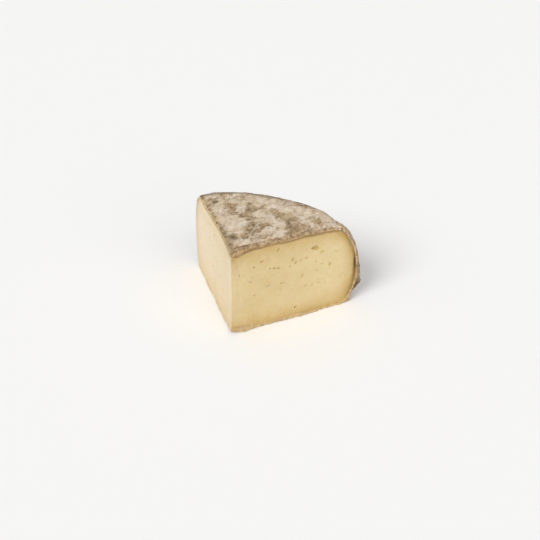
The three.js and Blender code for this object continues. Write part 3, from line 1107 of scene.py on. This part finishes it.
# %% Mould, pits, grain and crags from noise
def relief_parts(graph, given, place):
    """Where mould and pits are, from 0 to 1, and how far grain and crags go out or in."""
    grown = graph.stored("grown")
    ragged = (graph.blobs(2.2, 3, 0.6, place) - 0.5) * 0.5
    fuzz = ragged + (graph.blobs(5, 2, 0.5, place) - 0.5) * 0.3
    patch = graph.blobs(given["Patch size"], 4, 0.5, place, 0.3)
    cover = (graph.blobs(3, 3, 0.65, place) + grown * 0.1).step(0.33, 0.58)
    mould = (patch + fuzz + grown * 0.25).step(0.42, 0.59) * (0.45 + 0.55 * cover)

    middle = graph.cells(given["Pit size"], place)
    chosen = graph.add("FunctionNodeSeparateColor", None, {"Color": middle.other("Color")})
    radius = (chosen - 0.65) * 0.9
    pit = (radius - middle - ragged).step(-0.05, 0.12) * chosen.step(0.65, 0.75) * 0.55
    crack = 1 - abs(graph.blobs(12, 3, 0.6, place, 1.0) - 0.5).step(0.006, 0.03)
    crack = crack * graph.blobs(15, 1, 0.5, place).step(0.5, 0.6) * 0.4
    hollow = (graph.stored("hollow") + ragged * 0.5).step(0.2, 0.75)
    grain = (graph.blobs(2.6, 3, 0.6, place) - 0.5) * 2
    crag = (graph.blobs(3.6, 3, 0.6, place) - 0.5) * 4 * graph.stored("torn")
    pit = pit.at_least(crack).at_least(hollow).at_least((0 - crag).step(0.15, 0.6))
    return mould.at_least(crag.step(0.2, 0.6)), pit, grain, crag


# %% [markdown]
# The tree then pushes each point along its normal by the sum of these, and stores the mould
# and the pits as masks for the material. The cut edges get less of it and the foot almost
# none, because the cheese lies on it.

# %% The tree of the rind's relief
def relief_tree():
    numbers = [
        "Patch size", "Patch rise", "Pit size", "Pit depth", "Grain rise", "Notch depth", "Crag rise",
    ]
    inputs = {"Geometry": "geometry", "Material": "material"}
    graph, given = new_tree("Rind relief", inputs | {name: "number" for name in numbers})
    place = graph.times(graph.add("GeometryNodeInputPosition"), DRAWN_OUT)
    mould, pit, grain, crag = relief_parts(graph, given, place)
    height = given["Patch rise"] * mould + given["Grain rise"] * grain - given["Pit depth"] * pit
    height = height * graph.stored("skin") + given["Crag rise"] * crag
    height = (height - given["Notch depth"] * graph.stored("notch")) * MM
    offset = graph.scaled(graph.add("GeometryNodeInputNormal"), height)
    piece = graph.keep(given["Geometry"], "mould", mould)
    piece = graph.keep(piece, "pit", pit)
    piece = graph.add("GeometryNodeSetPosition", None, {"Geometry": piece, "Offset": offset})
    x, y, z = graph.parts(graph.add("GeometryNodeInputPosition"))
    above = graph.joined(x, y, z.at_least(0.0))  # nothing may sink into the ground
    piece = graph.add("GeometryNodeSetPosition", None, {"Geometry": piece, "Position": above})
    end_tree(graph, piece, given["Material"])
    return graph


apply_tree(rind, relief_tree(), {
    "Patch size": 12.5,
    "Patch rise": 0.4,
    "Pit size": 5.5,
    "Pit depth": 0.6,
    "Grain rise": 0.22,
    "Notch depth": 1.8,
    "Crag rise": 0.8,
    "Material": rind_material(),
})
measure(rind.data)

# %% [markdown]
# ## The finish of the paste
#
# The paste is dense and slightly waxy. Light goes a few millimetres into it, so its shader
# scatters light below the surface. It is pale in the middle and darkens to amber close to
# the rind, where it has dried. Low down it is darker still, which is painted shade, and it
# grows paler away from the point, which is painted light. Up close it is faintly mottled.
# The eyes are tinted deeper and warmer, painted shade inside the hollows, and warmer near
# the front edge than further back.

# %% The paste's material
WARM_EYES_TO = (-38, -22)  # millimetres along Y: where the warmth starts to fade, and is gone


def paste_material():
    material, graph, place = new_material("paste")
    mottle = graph.blobs(24, 3, 0.5, place).step(0.3, 0.7)
    veil = graph.blobs(3, 3, 0.6, place).step(0.3, 0.7)
    cloud = graph.blobs(8, 2, 0.5, place).step(0.35, 0.65)
    grain = graph.blobs(1.1, 3, 0.6, place)
    # Painted light away from the point and at the front edge, mixed with real mottling.
    lighter = 0.7 * graph.stored("far") + 0.3 * mottle
    butter = graph.mix(lighter, (209, 186, 134), (225, 205, 158))
    # The left face's colour: partly drier paste, partly painted light.
    drier_lit_cream = graph.mix(lighter, (214, 196, 161), (226, 209, 184))
    cooler = graph.parts(place)[1].step(WARM_EYES_TO[0] * MM, WARM_EYES_TO[1] * MM)
    # Painted shade: the eyes' warm tint stands for warm light bouncing inside each hollow, warmest near
    # the front edge.
    hollow = graph.mix(cooler, (230, 184, 98), (206, 177, 108))
    body = graph.coats(
        graph.mix(graph.stored("pale"), butter, drier_lit_cream),
        # Amber where the paste has dried near the rind, with painted shade low down.
        (graph.stored("amber"), (195, 160, 92)),
        (veil * 0.22, (206, 180, 130)),  # the mottling, fine and dark, then broad and pale
        (cloud * 0.12, (238, 222, 184)),
        (grain.step(0.45, 0.65) * 0.1, (240, 224, 188)),  # pale crumbs that the knife left
        # Painted shadow under the rind's lip, along the side and in the groove, with a little brown
        # stain.
        (graph.stored("stain"), (132, 104, 58)),
        # The eyes' tint, painted shade inside the hollows.
        (graph.stored("eye") * 0.43, hollow),
    )
    end_material(graph, grain, 0.12, {
        "Base Color": body,
        "Roughness": 0.52 + 0.1 * mottle,
        "Subsurface Weight": 0.25,
        "Subsurface Radius": (1.0, 0.7, 0.4),
        "Subsurface Scale": 1.2 * MM,
        "Specular IOR Level": 0.3,
    })
    return material


# %% [markdown]
# ## Eyes
#
# The eyes are bubbles of gas that the knife cut open. The larger ones of the right face
# are placed one by one, because they give the wedge its look. Those of the left face
# follow a rule, and pinholes lie in bunches on both. All are rough balls with a flattened
# lower half that a Geometry Nodes tree puts on points and cuts out of the paste. Each point
# carries the size of its ball and how it is turned.

# %% Where the eyes are
# How far from the point, how high, how wide, how tall, how far each leans, in degrees, and
# how deep it is beside an eye of the usual depth.
RIGHT_EYES = [
    (63.3, 53.4, 6.7, 3.2, -20, 1.15),
    (69.1, 49.0, 2.9, 2.1, 10, 0.75),
    (34.5, 59.0, 2.4, 3.0, -5, 1.35),
    (22.6, 53.0, 3.2, 2.0, 0, 0.5),
    (16.5, 50.0, 2.2, 1.6, -35, 0.65),
    (31.7, 45.4, 2.1, 1.7, -40, 1.15),
    (45.9, 48.6, 2.4, 3.0, 5, 0.85),
    (56.6, 47.3, 2.4, 1.8, -10, 0.45),
    (76.3, 37.1, 2.4, 2.8, 15, 1.0),
    (53.9, 33.4, 1.8, 3.2, -25, 0.6),
    (27.8, 32.6, 4.4, 1.5, -5, 0.19),
    (57.3, 24.3, 2.1, 1.9, 5, 0.28),
    (50.4, 7.7, 3.0, 2.1, 20, 1.8),
    (34.9, 44.9, 2.3, 1.4, -5, 0.75),
    (48.2, 45.6, 1.8, 2.2, -30, 1.0),
    (52.1, 46.4, 2.0, 1.5, -15, 0.45),
    (62.6, 23.4, 1.7, 2.0, -35, 0.6),
    (6.0, 46.4, 1.5, 2.4, -20, 0.53),
    (7.6, 56.4, 2.4, 1.8, -15, 0.2),
    (69.5, 39.4, 1.7, 1.1, -15, 0.5),
    (64.2, 42.7, 1.9, 0.9, -5, 0.55),
    (14.2, 39.4, 3.0, 1.0, 5, 0.47),
    (17.1, 27.4, 2.6, 0.9, -15, 0.4),
    (38.0, 31.8, 1.8, 1.3, 5, 0.8),
    (4.1, 53.6, 2.3, 1.2, 30, 0.55),
    (44.0, 43.8, 1.6, 1.2, 0, 0.7),
    (65.7, 34.8, 1.4, 1.6, 10, 0.4),
    (80.1, 47.2, 1.3, 1.5, 0, 0.7),
    (28.7, 45.9, 1.6, 1.2, 20, 0.75),
    (68.0, 24.2, 2.0, 1.2, 0, 0.35),
    (44.9, 32.4, 1.3, 1.1, 0, 0.5),
]
print("eyes placed one by one:", len(RIGHT_EYES))

# %% [markdown]
# The eyes of the left face are drawn from the fixed random values of the noise, so they are
# the same in each run. Every ball has its middle on the cut face, so half of it cuts, and
# it is thin in the direction of the cut, because an eye is shallow.

# %% A point for each eye
LEFT_EYE_COUNT = 9
LEFT_EYE_WIDTH = (1.6, 2.6)
LEFT_EYE_MARGIN = 12
LEFT_EYE_LEAN = 40
EYE_DEPTH = 0.235  # of its width
EYE_SPREAD = (1.1, 1.35)  # how much wider and taller a whole eye is than its dark part


def left_eyes():
    def draw(index, low, high):
        return lerp(low, high, lattice_value(index, 41, 7))

    eyes = []
    for first in range(0, 5 * LEFT_EYE_COUNT, 5):
        wide = draw(first + 2, *LEFT_EYE_WIDTH)
        eyes.append((
            draw(first, LEFT_EYE_MARGIN, SUNK_RIM["radius"] - LEFT_EYE_MARGIN),
            draw(first + 1, LEFT_EYE_MARGIN, WHEEL_HEIGHT - LEFT_EYE_MARGIN),
            wide,
            wide * draw(first + 3, 0.5, 1),
            draw(first + 4, -LEFT_EYE_LEAN, LEFT_EYE_LEAN),
            1.0,
        ))
    return eyes


def eye_points():
    """A mesh of points alone, one for each eye, with its size and turn as attributes."""
    places, sizes, spins = [], [], []
    for turn, eyes in ((0, RIGHT_EYES), (1, left_eyes())):
        angle = turn_angle(turn)
        lean_side = -1 if turn == 0 else 1
        for along, height, wide, tall, lean, deep in eyes:
            away = along * np.array([math.cos(angle), math.sin(angle), 0])
            places.append(away + (0, 0, height) - PASTE_RECESS * cut_normal(turn))
            width, tallness = wide * EYE_SPREAD[0] * MM, tall * EYE_SPREAD[1] * MM
            sizes.append((width, 2 * EYE_DEPTH * deep * width, tallness))
            spins.append((0, lean_side * math.radians(lean), angle))
    mesh = bpy.data.meshes.new("eye points")
    mesh.from_pydata(to_frame(places).tolist(), [], [])
    for name, values in (("size", sizes), ("spin", spins)):
        attribute = mesh.attributes.new(name, "FLOAT_VECTOR", "POINT")
        attribute.data.foreach_set("vector", np.array(values, np.float32).ravel())
    print("eyes in all:", len(places))
    return mesh


# %% [markdown]
# A smooth ball would leave an eye that looks drilled. So noise swells each ball by other
# amounts, and its lower half is flattened.

# %% One rough ball
BALL_LUMPS = 3.0  # the scale of the noise on a ball that is 1 across
SHAPE_STEP = 7.3  # far enough through the noise for another shape


def rough_ball(graph, given, shape):
    ball = graph.add("GeometryNodeMeshIcoSphere", None, {"Radius": 0.5, "Subdivisions": 3})
    inputs = {"Scale": BALL_LUMPS, "Detail": 1.0, "W": SHAPE_STEP * shape}
    lumps = graph.add("ShaderNodeTexNoise", {"noise_dimensions": "4D"}, inputs)
    swell = 1 + (lumps - 0.5) * given["Roughness"]
    x, y, z = graph.parts(graph.scaled(graph.add("GeometryNodeInputPosition"), swell))
    place = graph.joined(x, y, z - z.at_most(0.0) * given["Flatness"])
    return graph.add("GeometryNodeSetPosition", None, {"Geometry": ball, "Position": place})


# %% [markdown]
# There are too many pinholes to place one by one, so they get random points of the cut
# faces. No two are too close, and none is near the rind. Noise decides where they lie in
# bunches, and a fixed seed makes them the same in each run.

# %% Points for the pinholes
PINHOLE_MARGIN = 3.0  # millimetres from the rind
PINHOLE_DENSITY = 60000.0  # to a square metre, before the spacing thins them out
PINHOLE_SHARES = (0.35, 1.3)  # the smallest and the largest beside the usual size
BUNCH_SIZE = 14  # millimetres


def pinhole_spots(graph, given):
    """Random points of the cut faces, and the size of the ball on each of them."""
    place = graph.add("GeometryNodeInputPosition")
    inputs = {"Mesh": given["Geometry"], "Selection": graph.stored("inside") > PINHOLE_MARGIN,
              "Distance Min": given["Pinhole spacing"] * MM, "Density Max": PINHOLE_DENSITY,
              "Density Factor": graph.blobs(BUNCH_SIZE, 2, 0.5, place).step(0.42, 0.62),
              "Seed": given["Seed"]}
    settings = {"distribute_method": "POISSON"}
    spots = graph.add("GeometryNodeDistributePointsOnFaces", settings, inputs)
    smallest, largest = ((share,) * 3 for share in PINHOLE_SHARES)
    inputs = {"Min": smallest, "Max": largest, "Seed": given["Seed"]}
    chance = graph.add("FunctionNodeRandomValue", {"data_type": "FLOAT_VECTOR"}, inputs)
    return spots, graph.scaled(chance, given["Pinhole size"] * MM)


# %% [markdown]
# The tree makes four rough balls and puts one of them on each point. Then one Mesh Boolean
# cuts them all out of the paste. What it leaves of a ball is marked as an eye, so that the
# material can tint it.

# %% The tree of the eyes
BALL_SHAPES = 4


def eye_tree():
    inputs = {"Geometry": "geometry", "Material": "material", "Eyes": "object",
              "Pinhole spacing": "number", "Pinhole size": "number", "Roughness": "number",
              "Flatness": "number", "Seed": "whole"}
    graph, given = new_tree("Eyes", inputs)
    balls = [rough_ball(graph, given, shape) for shape in range(BALL_SHAPES)]
    balls = graph.add("GeometryNodeGeometryToInstance", None, {"Geometry": balls})
    kind = graph.add("GeometryNodeInputIndex") % float(BALL_SHAPES)

    def balls_on(points, spin, size):
        inputs = {"Points": points, "Instance": balls, "Pick Instance": True, "Instance Index": kind,
                  "Rotation": spin, "Scale": size}
        return graph.add("GeometryNodeInstanceOnPoints", None, inputs)

    points = graph.add("GeometryNodeObjectInfo", None, {"Object": given["Eyes"]}, "Geometry")
    spin = graph.stored("spin", "FLOAT_VECTOR")
    spin = graph.add("FunctionNodeEulerToRotation", None, {"Euler": spin})
    eyes = balls_on(points, spin, graph.stored("size", "FLOAT_VECTOR"))

    spots, size = pinhole_spots(graph, given)
    pinholes = balls_on(spots, spots.other("Rotation"), size)
    cutters = graph.add("GeometryNodeJoinGeometry", None, {"Geometry": [eyes, pinholes]})
    cutters = graph.add("GeometryNodeRealizeInstances", None, {"Geometry": cutters})
    cutters = graph.keep(cutters, "eye", 1.0)
    settings = {"operation": "DIFFERENCE", "solver": "MANIFOLD"}
    inputs = {"Mesh 1": given["Geometry"], "Mesh 2": cutters}
    cut = graph.add("GeometryNodeMeshBoolean", settings, inputs)
    end_tree(graph, cut, given["Material"])
    return graph


eye_spots = show(eye_points())
apply_tree(paste, eye_tree(), {
    "Eyes": eye_spots,
    "Pinhole spacing": 3.4,
    "Pinhole size": 0.85,
    "Roughness": 1.0,
    "Flatness": 0.5,
    "Seed": 11,
    "Material": paste_material(),
})
bpy.data.objects.remove(eye_spots)
paste.data.set_sharp_from_angle(angle=math.radians(50))
measure(paste.data)

# %% [markdown]
# ## What each piece stands for
#
# Both pieces ride on the one body and together take the place of the plain solid.

for piece in (rind, paste):
    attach(piece, "root")
    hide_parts("cheese")

# %% [markdown]
# ## Floor and light
#
# A plain pale floor and plain soft light keep the eye on the cheese. Two suns with very
# soft edges light the whole floor evenly, which small lamps can't do. The stronger, cooler
# one stands high at the front and a little to the left. It lights the left face well and
# grazes the right one, so that each eye has a dark upper left and a light lower right. A
# weak, warmer one lights the right face, and a white sky fills in the rest.

# %% Floor and lights
FLOOR_REACH = 6.0


def floor_material():
    material = bpy.data.materials.new("floor")
    material.use_nodes = True
    shader = material.node_tree.nodes["Principled BSDF"]
    shader.inputs["Base Color"].default_value = colour(250, 249, 248)
    shader.inputs["Roughness"].default_value = 0.9
    shader.inputs["Specular IOR Level"].default_value = 0.1
    return material


floor_mesh = bpy.data.meshes.new("floor")
corners = [(-1, -1, 0), (1, -1, 0), (1, 1, 0), (-1, 1, 0)]
floor_mesh.from_pydata([Vector(corner) * FLOOR_REACH for corner in corners], [], [(0, 1, 2, 3)])
floor_mesh.materials.append(floor_material())
floor = show(floor_mesh)


def sun(name, toward, strength, tint, softness):
    light = bpy.data.lights.new(name, "SUN")
    light.energy = strength
    light.color = tint
    light.angle = math.radians(softness)
    show(light).rotation_euler = Vector(toward).to_track_quat("Z", "Y").to_euler()


sun("key", (-0.25, -0.75, 0.61), 2.0, (0.95, 0.98, 1.0), 30)
sun("fill", (0.7, -0.5, 0.5), 0.6, (1.0, 0.96, 0.9), 50)

world = bpy.data.worlds.new("studio")
world.use_nodes = True
sky = world.node_tree.nodes["Background"]
sky.inputs["Color"].default_value = (1, 1, 1, 1)
sky.inputs["Strength"].default_value = 0.5
bpy.context.scene.world = world
bpy.context.scene.view_settings.view_transform = "Standard"

# %% [markdown]
# ## The camera
#
# The camera stands where the photographer stood, which the outline of the wedge gives
# away. Its place is counted from the wheel's axis, at the ground. It looks 21 degrees to
# the left of straight ahead and 33 degrees down, and is rolled by two.

# %% The camera
CAMERA_PLACE = (154.28, -327.07, 287.44)  # millimetres
CAMERA_YAW = math.radians(21.269)
CAMERA_PITCH = math.radians(32.907)
CAMERA_ROLL = math.radians(-2.002)
FOCAL_PIXELS = 666.775
PICTURE_PIXELS = 540

ahead = Vector((-math.sin(CAMERA_YAW) * math.cos(CAMERA_PITCH),
                math.cos(CAMERA_YAW) * math.cos(CAMERA_PITCH),
                -math.sin(CAMERA_PITCH)))
level = Vector((math.cos(CAMERA_YAW), math.sin(CAMERA_YAW), 0))
down = ahead.cross(level)
right = math.cos(CAMERA_ROLL) * level + math.sin(CAMERA_ROLL) * down
lens = bpy.data.cameras.new("camera")
lens.sensor_width = 36
lens.lens = FOCAL_PIXELS / PICTURE_PIXELS * lens.sensor_width
camera = show(lens)
turned = Matrix((right, right.cross(ahead), -ahead)).transposed().to_4x4()
camera.matrix_world = Matrix.Translation(to_frame(CAMERA_PLACE)) @ turned
bpy.context.scene.camera = camera
distance = np.linalg.norm(CAMERA_PLACE)
print(f"the camera stands {distance:.0f} mm from the foot of the point, with a {lens.lens:.1f} mm lens")
